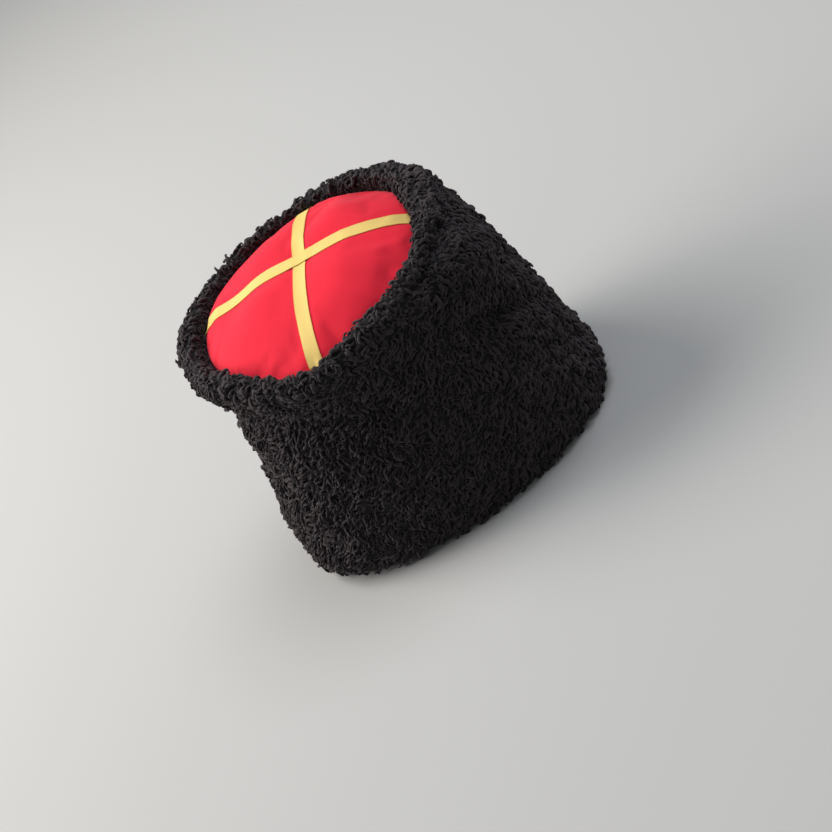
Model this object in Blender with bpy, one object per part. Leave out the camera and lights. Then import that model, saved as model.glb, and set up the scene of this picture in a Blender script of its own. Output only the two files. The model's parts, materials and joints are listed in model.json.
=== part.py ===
"""Papakha: a tall hat of black curly fleece with a red cloth crown and a yellow ribbon cross.

The hat stands on its turned hem. +X is the wearer's front, +Y the wearer's left and +Z up,
and the origin is the middle of the hem's face. Sizes below are in millimetres and degrees.
Every ring of points is an oval round the Z axis, and the rim's plane tilts against the hem's.
"""
import math
import random
from collections import namedtuple

import bmesh
import bpy
from mathutils import Vector
from mathutils.bvhtree import BVHTree

MM = 0.001
SHARP_ANGLE = 50

# The hat as a whole
RIM_HEIGHT = 171.5      # middle of the rim's crest above the hem
RIM_PITCH = 4.3         # the front of the rim stands higher
RIM_LEAN = 5.0          # the wearer's left of the rim stands higher
HEM_SQUARENESS = 2.4    # superellipse power of the oval at the hem
RIM_SQUARENESS = 2.1    # and at the rim

# The fleece band: divisions round it, and its locks
BAND_STEPS = 104
STEPS_PER_LOCK = 2
ROWS_PER_LOCK = 3
LOCK_COURSES = 15
LOCK_TIP = 0.65            # relief of a lock's tip, as a share of the section's pile
LOCK_VALLEY = -0.5         # and of the valley beside it
LOCK_SEED = 7

# share: height as a share of the rim's; front, back, left, right: half sizes of the oval from the Z axis,
# with the wearer's left and right; rows: rows of faces up to the next section; pile: relief of the locks
Section = namedtuple("Section", "share front back left right rows pile")
BAND_OUTSIDE = (
    Section(0.000, 107.5, 108.5, 83.0, 83.0, 1, 0.0),
    Section(0.020, 115.0, 115.5, 88.0, 87.0, 2, 1.2),
    Section(0.075, 118.0, 118.5, 91.0, 89.5, 5, 3.2),
    Section(0.280, 115.0, 112.5, 90.5, 89.5, 6, 3.6),
    Section(0.500, 110.5, 104.5, 89.0, 88.0, 5, 3.6),
    Section(0.680, 103.0, 98.0, 88.0, 86.0, 3, 3.4),
    Section(0.790, 97.5, 94.5, 87.5, 84.5, 2, 2.0),
    Section(0.860, 96.0, 101.0, 90.5, 86.0, 2, 3.0),
    Section(0.930, 95.0, 107.5, 94.0, 88.0, 2, 3.6),
    Section(0.982, 90.5, 105.5, 91.5, 85.0, 2, 3.4),
    Section(1.000, 84.0, 99.0, 86.0, 79.5, 2, 2.6),
    Section(0.985, 77.0, 91.0, 81.5, 75.5, 2, 1.4),
    Section(0.945, 74.0, 86.5, 79.0, 73.0, 1, 0.0),
)
CREST = 10    # the row of the table above at which the rim turns inwards
BAND_INSIDE = (
    Section(0.900, 75.5, 86.8, 79.2, 73.2, 1, 0.0),
    Section(0.800, 82.5, 87.0, 79.0, 74.0, 1, 0.0),
    Section(0.620, 90.0, 88.5, 78.5, 75.5, 1, 0.0),
    Section(0.350, 97.0, 95.0, 77.5, 76.5, 1, 0.0),
    Section(0.060, 100.0, 99.5, 77.0, 77.0, 1, 0.0),
    Section(0.000, 101.0, 101.0, 77.0, 77.0, 0, 0.0),
)

# The main swellings and dents of the soft wall. bearing: degrees from the front towards the wearer's left;
# share: height; half_angle, half_share: spread; slant: share gained for each degree; out: depth
Dent = namedtuple("Dent", "bearing share half_angle half_share slant out")
BAND_DENTS = (
    Dent(-38.0, 0.80, 17.0, 0.110, 0.0000, 5.0),
    Dent(-47.0, 0.60, 15.0, 0.060, 0.0020, -4.0),
    Dent(-122.0, 0.74, 30.0, 0.038, -0.0034, -4.0),
    Dent(-152.0, 0.92, 20.0, 0.090, 0.0000, -5.0),
    Dent(150.0, 0.96, 26.0, 0.070, 0.0000, 4.0),
    Dent(-128.0, 0.08, 28.0, 0.200, 0.0000, -2.5),
    Dent(-32.0, 0.08, 26.0, 0.200, 0.0000, 2.5),
    Dent(60.0, 0.66, 24.0, 0.070, 0.0020, -3.0),
    Dent(135.0, 0.76, 26.0, 0.045, 0.0020, -3.0),
)

# The crown: a padded cloth dome sewn in just under the rim's crest
CROWN_STEPS = 52
CROWN_GAP = 0.35           # between the dome's edge and the band
SEAM = BAND_OUTSIDE[-1]
CROWN_HALVES = tuple(half - CROWN_GAP for half in (SEAM.front, SEAM.back, SEAM.left, SEAM.right))
CROWN_MIDDLE = ((SEAM.front - SEAM.back) / 2, (SEAM.left - SEAM.right) / 2)
CROWN_SEAM_DEPTH = 10.0    # of the seam below the rim's plane
CROWN_RISE = 21.5          # of the dome's top above the seam's plane
CROWN_FULLNESS = 2.6       # power of the dome's profile
CROWN_SHOULDER = 1.5       # above 1, the lobes are fullest outside half way
LOBE_SHARPNESS = 1.2       # above 1, the lobes leave the top and the seam more gently
CROWN_WALL = 2.0
CROWN_RINGS = (0.14, 0.28, 0.42, 0.55, 0.67, 0.78, 0.87, 0.94, 1.0)
CROWN_TURN_DOWN = 8.0      # seam allowance that lies against the band's inside
# The four lobes between the ribbons. bearing: middle of the lobe; half_angle: its spread; puff: height
Lobe = namedtuple("Lobe", "bearing half_angle puff")
CROWN_LOBES = (
    Lobe(22.0, 26.0, 4.5),
    Lobe(110.0, 32.0, 6.0),
    Lobe(-165.0, 30.0, 5.0),
    Lobe(-68.0, 24.0, 3.0),
)
# Short pulls where the cloth is gathered into the seam, at a share of the way out to it
PULL_SHARE, PULL_HALF_SHARE = 0.90, 0.12
Pull = namedtuple("Pull", "bearing half_angle depth")
CROWN_PULLS = (
    Pull(-124.0, 5.0, 1.6),
    Pull(-97.0, 5.0, 1.8),
    Pull(-20.0, 6.0, 1.5),
    Pull(58.0, 6.0, 1.2),
)

# The ribbons cross near the top of the dome. start, end: bearings of their ends at the seam
RIBBON_WIDTH = 9.5
RIBBON_THICKNESS = 0.8
RIBBON_GAP = 0.5
RIBBON_STEPS = 30
RIBBON_LINES = (-1.0, -0.33, 0.33, 1.0)    # points across a ribbon, from edge to edge
RIBBON_END_SHARE = 0.975
RIBBON_CROSSING = (-3.0, 4.0)
CROSSING_RAMP = 6.0        # length over which the upper ribbon climbs onto the lower one
Ribbon = namedtuple("Ribbon", "name start end on_top")
RIBBONS = (
    Ribbon("ribbon_under", 69.0, -112.0, False),
    Ribbon("ribbon_over", 146.0, -25.0, True),
)

# Colours (linear) and finish: colour, roughness
FLEECE_BLACK = ((0.008, 0.007, 0.008, 1.0), 0.95)
CLOTH_RED = ((0.75, 0.022, 0.040, 1.0), 0.80)
TAPE_YELLOW = ((0.90, 0.66, 0.13, 1.0), 0.70)


def blend(table, place, name):
    """One column of a table at a fractional row, on a smooth curve through the rows."""
    last = len(table) - 1
    low = min(int(place), last - 1)
    part = place - low
    before, here, there, after = (
        getattr(table[min(max(low + step, 0), last)], name) for step in (-1, 0, 1, 2)
    )
    slope_in = (there - before) / 2
    slope_out = (after - here) / 2
    square, cube = part * part, part * part * part
    return (
        here * (2 * cube - 3 * square + 1)
        + slope_in * (cube - 2 * square + part)
        + there * (3 * square - 2 * cube)
        + slope_out * (cube - square)
    )


def oval_point(bearing, halves, squareness):
    """The point of an oval, as flat x and y, at a bearing in degrees from the oval's own middle."""
    front, back, left, right = halves
    length, width = (front + back) / 2, (left + right) / 2
    cosine, sine = math.cos(math.radians(bearing)), math.sin(math.radians(bearing))
    reach = (abs(cosine / length) ** squareness + abs(sine / width) ** squareness) ** (-1 / squareness)
    return (front - back) / 2 + reach * cosine, (left - right) / 2 + reach * sine


def tilted_height(share, x, y):
    """Height over a point of the plan at a share of the rim's height; the rim's plane is tilted."""
    rim = RIM_HEIGHT + x * math.tan(math.radians(RIM_PITCH)) + y * math.tan(math.radians(RIM_LEAN))
    return share * rim


def angle_between(bearing, middle):
    """Signed difference of two bearings in degrees, from -180 to 180."""
    return (bearing - middle + 180) % 360 - 180


def bump(offset, half):
    """A soft hump that is 1 in the middle and fades within about twice its half width."""
    return math.exp(-((offset / half) ** 2))


def dents_out(bearing, share):
    """How far the main swellings and dents move the wall outwards."""
    total = 0.0
    for dent in BAND_DENTS:
        turn = angle_between(bearing, dent.bearing)
        lift = share - dent.share - dent.slant * turn
        total += dent.out * bump(turn, dent.half_angle) * bump(lift, dent.half_share)
    return total


def lock_out(column, row, offsets, fullness):
    """Relief of the locks: rows count up from the tip, and each column starts its locks at its own row."""
    course, from_tip = divmod(row + offsets[column], ROWS_PER_LOCK)
    in_valley = (column + course) % STEPS_PER_LOCK
    if in_valley:
        return LOCK_VALLEY
    return (LOCK_TIP - from_tip / ROWS_PER_LOCK) * fullness[course * BAND_STEPS + column]


def skin_rings(name, rings, closed_ring):
    """Joins rings of points, each with the next, into one mesh object; closed_ring joins last to first."""
    bm = bmesh.new()
    loops = [[bm.verts.new(point) for point in ring] for ring in rings]
    pairs = list(zip(loops, loops[1:]))
    if closed_ring:
        pairs.append((loops[-1], loops[0]))
    for lower, upper in pairs:
        count = max(len(lower), len(upper))
        for step in range(count):
            after = (step + 1) % count
            if len(upper) == 1:
                bm.faces.new((lower[step], lower[after], upper[0]))
            elif len(lower) == 1:
                bm.faces.new((lower[0], upper[after], upper[step]))
            else:
                bm.faces.new((lower[step], lower[after], upper[after], upper[step]))
    bmesh.ops.recalc_face_normals(bm, faces=bm.faces)
    mesh = bpy.data.meshes.new(name)
    bm.to_mesh(mesh)
    bm.free()
    solid = bpy.data.objects.new(name, mesh)
    bpy.context.scene.collection.objects.link(solid)
    mesh.shade_smooth()
    mesh.set_sharp_from_angle(angle=math.radians(SHARP_ANGLE))
    return solid


def finish(solid, name, look):
    """Gives an object its own material."""
    colour, roughness = look
    material = bpy.data.materials.new(name)
    material.use_nodes = True
    shader = material.node_tree.nodes["Principled BSDF"]
    shader.inputs["Base Color"].default_value = colour
    shader.inputs["Roughness"].default_value = roughness
    shader.inputs["Metallic"].default_value = 0.0
    solid.data.materials.append(material)


def band_ring(table, place, row, offsets, fullness):
    """One ring of the fleece band, at a fractional row of a table of sections."""
    share = blend(table, place, "share")
    halves = [blend(table, place, name) for name in ("front", "back", "left", "right")]
    pile = blend(table, place, "pile")
    squareness = HEM_SQUARENESS + (RIM_SQUARENESS - HEM_SQUARENESS) * share
    facing_out = 0.0
    if table is BAND_OUTSIDE:
        facing_out = 1 - max(0.0, place - CREST) / (len(table) - 1 - CREST)
    ring = []
    for column in range(BAND_STEPS):
        bearing = 360 * column / BAND_STEPS
        out = pile * lock_out(column, row, offsets, fullness)
        out += facing_out * dents_out(bearing, share)
        x, y = oval_point(bearing, [half + out for half in halves], squareness)
        ring.append(Vector((x, y, tilted_height(share, x, y))) * MM)
    return ring


def make_fleece_band():
    """The hollow fleece wall with its puffy rolled rim and its turned hem, as one closed solid."""
    chance = random.Random(LOCK_SEED)
    offsets = [chance.randrange(ROWS_PER_LOCK) for _ in range(BAND_STEPS)]
    fullness = [chance.uniform(0.6, 1.3) for _ in range(BAND_STEPS * LOCK_COURSES)]
    rings = []
    row = 0
    for table in (BAND_OUTSIDE, BAND_INSIDE):
        for index, section in enumerate(table):
            steps = section.rows if index < len(table) - 1 else 1
            for step in range(steps):
                rings.append(band_ring(table, index + step / steps, row, offsets, fullness))
                row += 1
    band = skin_rings("fleece_band", rings, closed_ring=True)
    finish(band, "black curly fleece", FLEECE_BLACK)
    return band


def crown_height(x, y, ring, bearing):
    """Height of the dome's face at a share of the way out to the seam."""
    rim_plane = tilted_height(1.0, x, y)
    height = rim_plane - CROWN_SEAM_DEPTH + CROWN_RISE * (1 - ring ** CROWN_FULLNESS)
    swell = math.sin(math.pi * min(ring, 1.0) ** CROWN_SHOULDER) ** LOBE_SHARPNESS
    for lobe in CROWN_LOBES:
        height += lobe.puff * swell * bump(angle_between(bearing, lobe.bearing), lobe.half_angle)
    for pull in CROWN_PULLS:
        near_seam = bump(ring - PULL_SHARE, PULL_HALF_SHARE)
        height -= pull.depth * near_seam * bump(angle_between(bearing, pull.bearing), pull.half_angle)
    return height


def crown_face(inset):
    """Rings of the dome from its top to the seam, moved inwards by inset."""
    middle_x, middle_y = CROWN_MIDDLE
    halves = [half - inset for half in CROWN_HALVES]
    rings = [[Vector((middle_x, middle_y, crown_height(middle_x, middle_y, 0.0, 0.0) - inset)) * MM]]
    for ring in CROWN_RINGS:
        loop = []
        for step in range(CROWN_STEPS):
            bearing = 360 * step / CROWN_STEPS
            x, y = oval_point(bearing, halves, RIM_SQUARENESS)
            x, y = middle_x + (x - middle_x) * ring, middle_y + (y - middle_y) * ring
            loop.append(Vector((x, y, crown_height(x, y, ring, bearing) - inset)) * MM)
        rings.append(loop)
    return rings


def make_crown():
    """The padded red dome, a thin shell whose edge turns down inside the band."""
    outside = crown_face(0.0)
    inside = crown_face(CROWN_WALL)
    drop = Vector((0, 0, -CROWN_TURN_DOWN)) * MM
    foot_outside = [point + drop for point in outside[-1]]
    foot_inside = [point + drop for point in inside[-1]]
    rings = outside + [foot_outside, foot_inside] + inside[::-1]
    crown = skin_rings("crown_cloth", rings, closed_ring=False)
    finish(crown, "red crown cloth", CLOTH_RED)
    return crown


def ribbon_path(ribbon):
    """Plan of a ribbon's centre line: a smooth curve from seam to seam through the crossing."""
    ends = []
    for bearing in (ribbon.start, ribbon.end):
        seam = Vector(oval_point(bearing, CROWN_HALVES, RIM_SQUARENESS))
        ends.append(seam.lerp(Vector(CROWN_MIDDLE), 1 - RIBBON_END_SHARE))
    first, last = ends
    through = Vector(RIBBON_CROSSING)
    handle = 2 * through - (first + last) / 2
    points = []
    for step in range(RIBBON_STEPS + 1):
        part = step / RIBBON_STEPS
        points.append((1 - part) ** 2 * first + 2 * part * (1 - part) * handle + part**2 * last)
    return points


def make_ribbon(ribbon, under):
    """A flat tape laid on whatever is under it, found by looking straight down on those solids."""
    trees = []
    for solid in under:
        points = [vertex.co for vertex in solid.data.vertices]
        trees.append(BVHTree.FromPolygons(points, [face.vertices for face in solid.data.polygons]))
    above_all = 2 * RIM_HEIGHT * MM

    def height_at(x, y):
        hits = [tree.ray_cast(Vector((x, y, above_all)), Vector((0, 0, -1)))[0] for tree in trees]
        return max(hit.z for hit in hits if hit)

    path = ribbon_path(ribbon)
    crossing = Vector(RIBBON_CROSSING)
    rings = []
    for index, point in enumerate(path):
        ahead = path[min(index + 1, RIBBON_STEPS)] - path[max(index - 1, 0)]
        across = Vector((-ahead.y, ahead.x)).normalized() * RIBBON_WIDTH / 2
        near_crossing = (point - crossing).length < RIBBON_WIDTH / 2 + CROSSING_RAMP
        reach = CROSSING_RAMP if ribbon.on_top and near_crossing else 0.0
        along = ahead.normalized() * reach
        ring_low, ring_high = [], []
        for line in RIBBON_LINES:
            spot = point + across * line
            base = max(height_at(*((spot + along * shift) * MM)) for shift in (-1, -0.5, 0, 0.5, 1))
            ring_low.append(Vector((spot.x * MM, spot.y * MM, base + RIBBON_GAP * MM)))
            ring_high.append(Vector((spot.x * MM, spot.y * MM, base + (RIBBON_GAP + RIBBON_THICKNESS) * MM)))
        rings.append(ring_low + ring_high[::-1])
    caps = [[sum(ring, Vector()) / len(ring)] for ring in (rings[0], rings[-1])]
    tape = skin_rings(ribbon.name, [caps[0]] + rings + [caps[1]], closed_ring=False)
    finish(tape, ribbon.name.replace("_", " ") + " yellow", TAPE_YELLOW)
    return tape


def main():
    for old in list(bpy.data.objects):
        bpy.data.objects.remove(old, do_unlink=True)
    make_fleece_band()
    crown = make_crown()
    laid = [crown]
    for ribbon in RIBBONS:
        laid.append(make_ribbon(ribbon, laid))


main()
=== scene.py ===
# %% [markdown]
# # A papakha in Blender
# The hat stands on its turned hem: a tall hollow wall of black curly fleece with a puffy rolled rim,
# a padded red cloth crown inside the rim, and two yellow tapes that cross on the crown.
# The solids of the hat come first, as a frame that nothing here moves. Every visible piece is then
# made to fit that frame, in metres, with the wearer's front at +X, left at +Y and +Z up.

# %% Load the frame
import json
import math
from collections import namedtuple

import bmesh
import bpy
import numpy as np
from mathutils import Matrix, Vector
from mathutils.bvhtree import BVHTree
from mathutils.noise import noise_vector, seed_set

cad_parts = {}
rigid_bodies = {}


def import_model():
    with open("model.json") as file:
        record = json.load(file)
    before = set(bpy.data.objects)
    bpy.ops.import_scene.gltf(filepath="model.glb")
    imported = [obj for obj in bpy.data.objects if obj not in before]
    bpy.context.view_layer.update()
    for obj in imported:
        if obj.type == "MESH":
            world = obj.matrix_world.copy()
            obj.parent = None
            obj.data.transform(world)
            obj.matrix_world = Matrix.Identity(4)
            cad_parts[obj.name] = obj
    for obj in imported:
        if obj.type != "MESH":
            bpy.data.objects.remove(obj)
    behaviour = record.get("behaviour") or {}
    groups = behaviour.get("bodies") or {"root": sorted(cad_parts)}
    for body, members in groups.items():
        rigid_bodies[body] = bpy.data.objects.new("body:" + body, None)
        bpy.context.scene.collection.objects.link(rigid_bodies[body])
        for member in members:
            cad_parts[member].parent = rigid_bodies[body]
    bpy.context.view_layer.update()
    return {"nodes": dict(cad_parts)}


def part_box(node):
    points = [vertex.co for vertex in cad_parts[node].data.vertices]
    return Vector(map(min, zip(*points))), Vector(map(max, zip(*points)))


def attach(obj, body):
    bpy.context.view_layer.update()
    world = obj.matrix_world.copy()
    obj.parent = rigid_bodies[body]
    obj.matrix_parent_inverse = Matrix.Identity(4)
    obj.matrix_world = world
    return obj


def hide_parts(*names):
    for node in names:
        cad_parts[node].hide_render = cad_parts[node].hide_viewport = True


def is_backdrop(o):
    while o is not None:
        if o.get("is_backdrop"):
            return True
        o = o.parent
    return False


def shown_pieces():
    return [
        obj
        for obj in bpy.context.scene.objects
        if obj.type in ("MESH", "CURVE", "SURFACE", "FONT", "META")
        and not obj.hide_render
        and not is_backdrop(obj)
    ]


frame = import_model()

MM = 0.001

# %% [markdown]
# ## Helpers for finishes
# Colours are picked as sRGB hex values, as a painter reads them off a screen, and shaders want
# linear light, so one function turns the first into the second. Another adds one node with its
# settings and links, and serves both for materials and for Geometry Nodes. The rest are short ways
# to what every finish here needs: a sum, some noise, a mix of two colours and a relief.

# %% Helpers for colours and nodes
def linear(hex_colour):
    """An sRGB colour such as "#8a1020" as the linear RGBA that a shader socket takes."""
    channels = [int(hex_colour[start:start + 2], 16) / 255 for start in (1, 3, 5)]
    # the numbers are those of the sRGB standard: a straight start and then a power curve
    return [c / 12.92 if c <= 0.04045 else ((c + 0.055) / 1.055) ** 2.4 for c in channels] + [1.0]


def add_node(tree, kind, inputs=None, **settings):
    """Adds one node. inputs maps a socket's name or number to a value or to another node's output."""
    node = tree.nodes.new(kind)
    for name, value in settings.items():
        setattr(node, name, value)
    for key, value in (inputs or {}).items():
        if isinstance(value, bpy.types.NodeSocket):
            tree.links.new(value, node.inputs[key])
        else:
            node.inputs[key].default_value = value
    return node


def maths(tree, operation, *values):
    """The result of one sum on numbers or on other nodes' outputs."""
    return add_node(tree, "ShaderNodeMath", dict(enumerate(values)), operation=operation).outputs[0]


def noise(tree, place, scale, detail):
    """Soft noise over places, between 0 and 1."""
    inputs = {"Vector": place, "Scale": scale, "Detail": detail}
    return add_node(tree, "ShaderNodeTexNoise", inputs).outputs["Fac"]


def mix_colours(tree, share, first, second, blend="MIX"):
    """A colour made of two, by a share from 0 to 1."""
    inputs = {0: share, 6: first, 7: second}
    return add_node(tree, "ShaderNodeMix", inputs, data_type="RGBA", blend_type=blend).outputs[2]


print("a red of #e8303f reads", [round(channel, 3) for channel in linear("#e8303f")])

# %% Helpers for one finish
def paint(tree, shader, colour):
    """Links a colour to the shader's base colour."""
    tree.links.new(colour, shader.inputs["Base Color"])


def add_relief(tree, shader, height, depth):
    """Bump from a height between 0 and 1, depth metres deep."""
    bump = add_node(tree, "ShaderNodeBump", {"Height": height, "Distance": depth})
    tree.links.new(bump.outputs["Normal"], shader.inputs["Normal"])


def new_finish(name, roughness, specular):
    """A node material with its roughness and specular level set: material, tree and shader."""
    material = bpy.data.materials.new(name)
    material.use_nodes = True
    shader = material.node_tree.nodes["Principled BSDF"]
    shader.inputs["Roughness"].default_value = roughness
    shader.inputs["Specular IOR Level"].default_value = specular
    return material, material.node_tree, shader


def add_sheen(shader, weight, roughness, tint):
    """The soft glow that loose fibres give to wool and cloth where light grazes them."""
    shader.inputs["Sheen Weight"].default_value = weight
    shader.inputs["Sheen Roughness"].default_value = roughness
    shader.inputs["Sheen Tint"].default_value = linear(tint)


print("helpers:", [helper.__name__ for helper in (paint, add_relief, new_finish, add_sheen)])

# %% [markdown]
# ## Helpers for meshes
# Meshes are worked on as arrays of points, because a sum over a whole array is quick and reads like
# the sum for one point. `bake_modifiers` turns what the modifiers show into a plain mesh, and a
# search tree answers where a ray meets a surface.

# %% Points, modifiers and rays
def add_object(name, mesh):
    """A new object in the scene, at the origin."""
    piece = bpy.data.objects.new(name, mesh)
    bpy.context.scene.collection.objects.link(piece)
    return piece


def points_of(mesh):
    """The mesh's points as an array with a row for each."""
    places = np.empty(len(mesh.vertices) * 3, np.float32)
    mesh.vertices.foreach_get("co", places)
    return places.reshape(-1, 3).astype(float)


def set_points(mesh, places):
    """Moves the mesh's points to an array of places."""
    mesh.vertices.foreach_set("co", places.astype(np.float32).ravel())
    mesh.update()


def normals_of(mesh):
    """The mesh's point normals as an array with a row for each."""
    normals = np.empty(len(mesh.vertices) * 3, np.float32)
    mesh.vertex_normals.foreach_get("vector", normals)
    return normals.reshape(-1, 3).astype(float)


def bake_modifiers(piece):
    """Turns what an object's modifiers give into its plain mesh, and removes them."""
    depsgraph = bpy.context.evaluated_depsgraph_get()
    made = bpy.data.meshes.new_from_object(piece.evaluated_get(depsgraph))
    piece.modifiers.clear()
    old, piece.data = piece.data, made
    made.name = piece.name
    bpy.data.meshes.remove(old)
    return made


def seen_from(mesh):
    """A search tree over a mesh's faces, for casting rays at it."""
    mesh.calc_loop_triangles()
    return BVHTree.FromPolygons([v.co for v in mesh.vertices], [t.vertices for t in mesh.loop_triangles])


def triangles_in(mesh):
    """How many triangles the mesh draws."""
    mesh.calc_loop_triangles()
    return len(mesh.loop_triangles)


print("the frame's triangles:", {name: triangles_in(node.data) for name, node in frame["nodes"].items()})

# %% [markdown]
# ## Smoothing and smooth chance
# `relax` is Taubin smoothing: each point moves towards the middle of its neighbours and then a
# little back, so small bumps go and the form stays. `drift` gives smooth random numbers over a
# surface, and it is seeded, so that the hat comes out the same each time.

# %% Smoothing and smooth chance
NOISE_SEED = 5
NOISE_GAIN = 1.6                     # a noise vector seldom passes 0.6, so this fills the range to 1
TINY = 1e-9                          # keeps a length that is divided by off zero
seed_set(NOISE_SEED)                 # unseeded, Blender's noise vectors change from run to run


def relax(mesh, values, rounds, forth=0.5, back=0.53):
    """Taubin smoothing of one or more values for each point, over the mesh's edges."""
    ends = np.empty(len(mesh.edges) * 2, np.int32)
    mesh.edges.foreach_get("vertices", ends)
    first, second = ends.reshape(-1, 2).T
    count = np.bincount(ends, minlength=len(values))[:, None]
    for _ in range(rounds):
        for share in (forth, -back):
            total = np.zeros_like(values)
            for column in range(values.shape[1]):
                total[:, column] += np.bincount(first, values[second, column], len(values))
                total[:, column] += np.bincount(second, values[first, column], len(values))
            values = values + share * (total / count - values)
    return values


def smooth_step(values, start, end):
    """0 before start, 1 after end, and a soft turn between them."""
    part = np.clip((values - start) / (end - start), 0, 1)
    return part * part * (3 - 2 * part)


def drift(places, size, seed):
    """Smooth random vectors that change over size metres. Each seed reads another part of the noise."""
    shift = Vector((seed, 1.7 * seed, -seed))
    return np.array([noise_vector(Vector(place) / size + shift) for place in places])


print("noise seed", NOISE_SEED, "gives", [round(number, 3) for number in noise_vector((0.5, 0.5, 0.5))])

# %% [markdown]
# ## Camera
# The hat was photographed from its right side, from a little above, with the crown tipped towards
# the lens. It stands upright here, so the camera takes over that tip: it looks down by 30 degrees
# and rolls by 39. The lens follows from how much the far end of the hem shrinks against the near end.

# %% Camera
CAMERA_AZIMUTH = math.radians(-0.93)      # 0 looks along +Y
CAMERA_ELEVATION = math.radians(29.95)
CAMERA_ROLL = math.radians(-38.56)
CAMERA_DISTANCE = 1056.7 * MM             # to the hat's middle
CAMERA_LENS = 70.4                        # mm, on a 36 mm sensor
HAT_MIDDLE = Vector((0, 0, 85)) * MM
AIM_RIGHT, AIM_UP = 17.9 * MM, -33.7 * MM    # the aim, from the hat's middle along the picture's axes


def place_camera():
    """Adds the camera and makes it the scene's own."""
    back = Vector((
        math.sin(CAMERA_AZIMUTH) * math.cos(CAMERA_ELEVATION),
        -math.cos(CAMERA_AZIMUTH) * math.cos(CAMERA_ELEVATION),
        math.sin(CAMERA_ELEVATION),
    ))
    level = (-back).cross(Vector((0, 0, 1))).normalized()
    upright = level.cross(-back)
    right = level * math.cos(CAMERA_ROLL) + upright * math.sin(CAMERA_ROLL)
    up = upright * math.cos(CAMERA_ROLL) - level * math.sin(CAMERA_ROLL)
    place = HAT_MIDDLE + back * CAMERA_DISTANCE
    towards_eye = (place - (HAT_MIDDLE + right * AIM_RIGHT + up * AIM_UP)).normalized()
    right = (right - towards_eye * right.dot(towards_eye)).normalized()
    up = towards_eye.cross(right)
    camera = add_object("camera", bpy.data.cameras.new("camera"))
    axes = Matrix((right, up, towards_eye)).transposed().to_4x4()
    camera.matrix_world = Matrix.Translation(place) @ axes
    camera.data.lens = CAMERA_LENS
    bpy.context.scene.camera = camera
    return camera


camera = place_camera()
print("camera at", [round(x, 3) for x in camera.matrix_world.translation], "lens", CAMERA_LENS)

# %% [markdown]
# ## Floor and light
# A plain pale sheet of paper serves as the floor. Black fleece needs a large soft lamp that rakes
# across it from above and behind, so that each curl gets a lit edge and a dark side. A second one
# stands low at the back of the hat, for the wool on that edge, and a weaker one overhead and a dim
# sky fill in a little. The side towards the lens then stays almost black, and the red crown glows.
# The lamps themselves are kept out of the picture.

# %% Floor and light
FLOOR_HALF = 6.0
PAPER = "#aaaba9"
Lamp = namedtuple("Lamp", "name direction distance size power colour")
LAMPS = (
    Lamp("soft window", (-0.50, 0.42, 0.76), 2.3, 1.4, 45.0, "#fffaf4"),
    Lamp("ceiling fill", (0.36, 0.10, 0.93), 2.2, 1.4, 24.0, "#f4f6ff"),
    Lamp("side window", (-0.88, 0.26, 0.38), 2.2, 1.4, 38.0, "#fff6f4"),
)
SKY_COLOUR, SKY_STRENGTH = "#e6eaee", 0.36


def make_floor():
    """A large pale plane at the hem, marked as stage."""
    paper, _, shader = new_finish("matt paper backdrop", roughness=0.9, specular=0.2)
    shader.inputs["Base Color"].default_value = linear(PAPER)
    corners = [(x * FLOOR_HALF, y * FLOOR_HALF, 0) for x, y in ((-1, -1), (1, -1), (1, 1), (-1, 1))]
    mesh = bpy.data.meshes.new("floor")
    mesh.from_pydata(corners, [], [(0, 1, 2, 3)])
    mesh.materials.append(paper)
    add_object("floor", mesh)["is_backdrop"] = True


def make_light():
    """Area lamps that face the hat's middle, and a dim even sky."""
    for lamp in LAMPS:
        light = bpy.data.lights.new(lamp.name, "AREA")
        light.shape = "DISK"
        light.size = lamp.size
        light.energy = lamp.power
        light.color = linear(lamp.colour)[:3]
        holder = add_object(lamp.name, light)
        towards = Vector(lamp.direction).normalized()
        holder.location = HAT_MIDDLE + towards * lamp.distance
        holder.rotation_euler = towards.to_track_quat("Z", "Y").to_euler()
        holder.visible_camera = False
    sky = bpy.data.worlds.new("studio")
    sky.use_nodes = True
    background = sky.node_tree.nodes["Background"]
    background.inputs["Color"].default_value = linear(SKY_COLOUR)
    background.inputs["Strength"].default_value = SKY_STRENGTH
    bpy.context.scene.world = sky
    bpy.context.scene.view_settings.view_transform = "Standard"


make_floor()
make_light()
print("lamps:", [lamp.name for lamp in LAMPS])

# %% [markdown]
# ## Finish 1: black curly sheepskin wool
# The curls are dyed sheep's wool, matt and nearly black, and each lock is a bundle of fine crimped
# hairs. Wool keeps a faint warm sheen where light grazes it. A real hair is 0.03 mm thick, too fine
# to show, so the ridges along a lock are drawn about 0.4 mm apart. Every lock carries its own tone,
# and its colour runs from a darker root to a lighter, browner tip, which is a painted glint.

# %% Wool
# roots are darker; the lighter, browner tip colour is a painted glint
WOOL_ROOT, WOOL_BODY, WOOL_TIP_GLINT = "#1b1a1b", "#242122", "#2e2a2b"
WOOL_BODY_PLACE = 0.4          # share of the way from root to tip
WOOL_TONES = 0.78, 1.28        # darkest and lightest lock against the colours above
WOOL_SHEEN = "#94898c"
LOCK_ROUND = 5.5 * MM
HAIR_RIDGE = 0.4 * MM
HAIR_CRIMPS = 3.0              # crimps along one lock
HAIR_RELIEF = 0.25 * MM


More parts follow.
